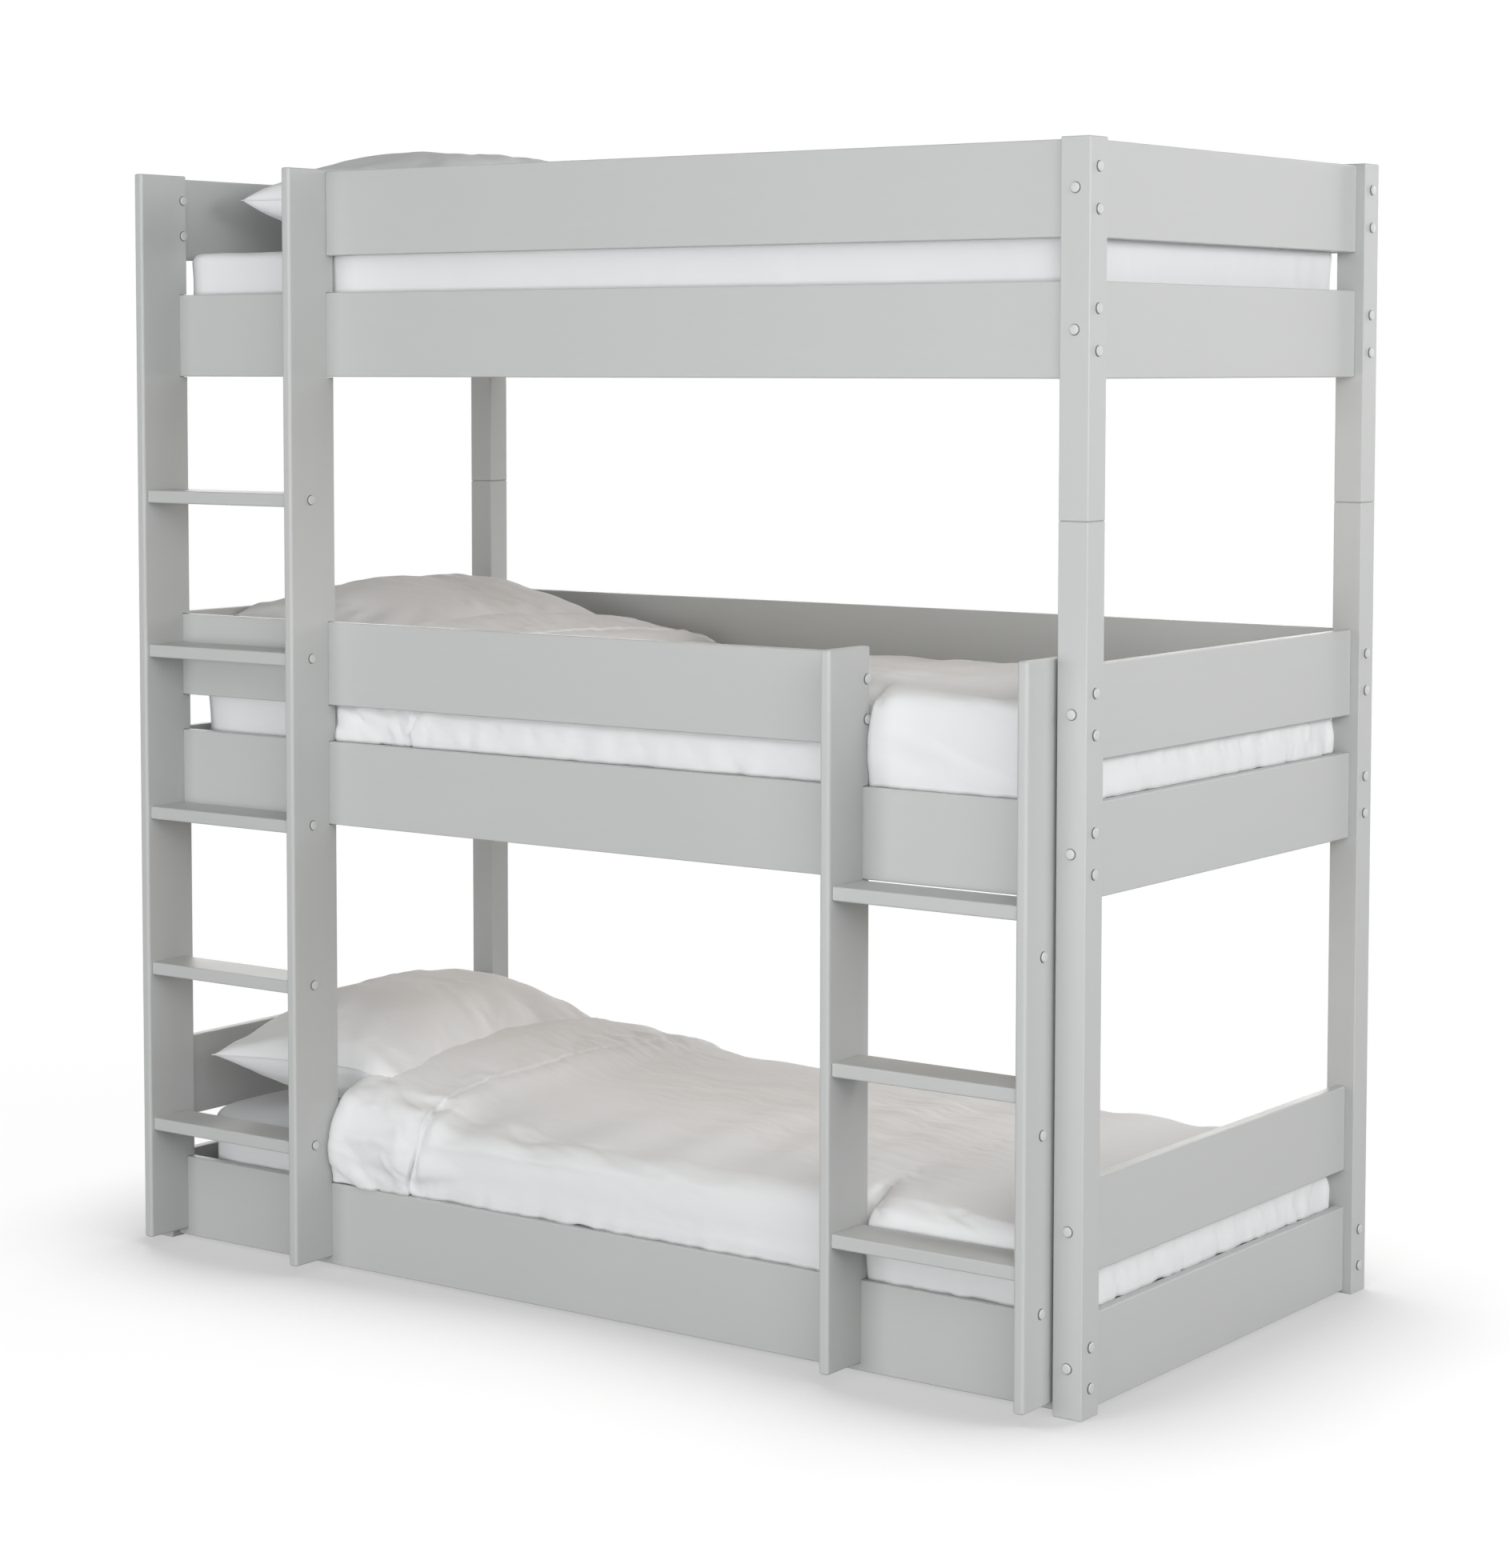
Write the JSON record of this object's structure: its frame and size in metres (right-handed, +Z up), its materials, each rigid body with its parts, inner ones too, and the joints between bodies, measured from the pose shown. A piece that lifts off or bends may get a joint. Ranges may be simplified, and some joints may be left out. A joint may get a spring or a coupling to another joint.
{
  "type": "bunk bed",
  "caption": "Multi-level bunk bed of square posts and boards, with a full-height ladder, a short ladder, slatted bases, mattresses and bedding.",
  "frame": {"origin": "on the floor, under the middle of the bed's outline with its ladders", "axes": "+Z up, +X along the bed from the head end to the foot end, -Y towards the front with the ladders"},
  "size_m": [1.99, 1.06, 2.018],
  "materials": {
    "painted_board": "satin grey paint on wood",
    "bare_timber": "planed, unpainted",
    "sheet": "woven cotton, matt",
    "cotton": "soft woven cotton, matt"
  },
  "bodies": {
    "root": {"post_dowel_front_head": "bare_timber", "post_front_head_lower": "painted_board", "post_front_head_upper": "painted_board", "post_dowel_front_foot": "bare_timber", "post_front_foot_lower": "painted_board", "post_front_foot_upper": "painted_board", "post_dowel_rear_head": "bare_timber", "post_rear_head_lower": "painted_board", "post_rear_head_upper": "painted_board", "post_dowel_rear_foot": "bare_timber", "post_rear_foot_lower": "painted_board", "post_rear_foot_upper": "painted_board", "rail_front_bottom": "painted_board", "rail_rear_bottom": "painted_board", "rail_head_bottom": "painted_board", "guard_head_bottom": "painted_board", "rail_foot_bottom": "painted_board", "guard_foot_bottom": "painted_board", "rail_front_middle": "painted_board", "rail_rear_middle": "painted_board", "rail_head_middle": "painted_board", "guard_head_middle": "painted_board", "rail_foot_middle": "painted_board", "guard_foot_middle": "painted_board", "rail_front_top": "painted_board", "rail_rear_top": "painted_board", "rail_head_top": "painted_board", "guard_head_top": "painted_board", "rail_foot_top": "painted_board", "guard_foot_top": "painted_board", "guard_rear_middle": "painted_board", "guard_rear_top": "painted_board", "guard_front_middle": "painted_board", "guard_front_top": "painted_board", "tall_ladder_stile_head_side": "painted_board", "tall_ladder_stile_foot_side": "painted_board", "short_ladder_stile_head_side": "painted_board", "short_ladder_stile_foot_side": "painted_board", "tall_ladder_tread_1": "painted_board", "tall_ladder_tread_2": "painted_board", "tall_ladder_tread_3": "painted_board", "tall_ladder_tread_4": "painted_board", "tall_ladder_tread_5": "painted_board", "short_ladder_tread_1": "painted_board", "short_ladder_tread_2": "painted_board", "short_ladder_tread_3": "painted_board", "slat_base_bottom": "bare_timber", "slat_base_middle": "bare_timber", "slat_base_top": "bare_timber", "mattress_bottom": "sheet", "mattress_middle": "sheet", "mattress_top": "sheet", "pillow_top": "cotton", "pillow_middle": "cotton", "pillow_bottom": "cotton", "duvet_middle": "cotton", "duvet_bottom": "cotton"}
  },
  "joints": []
}
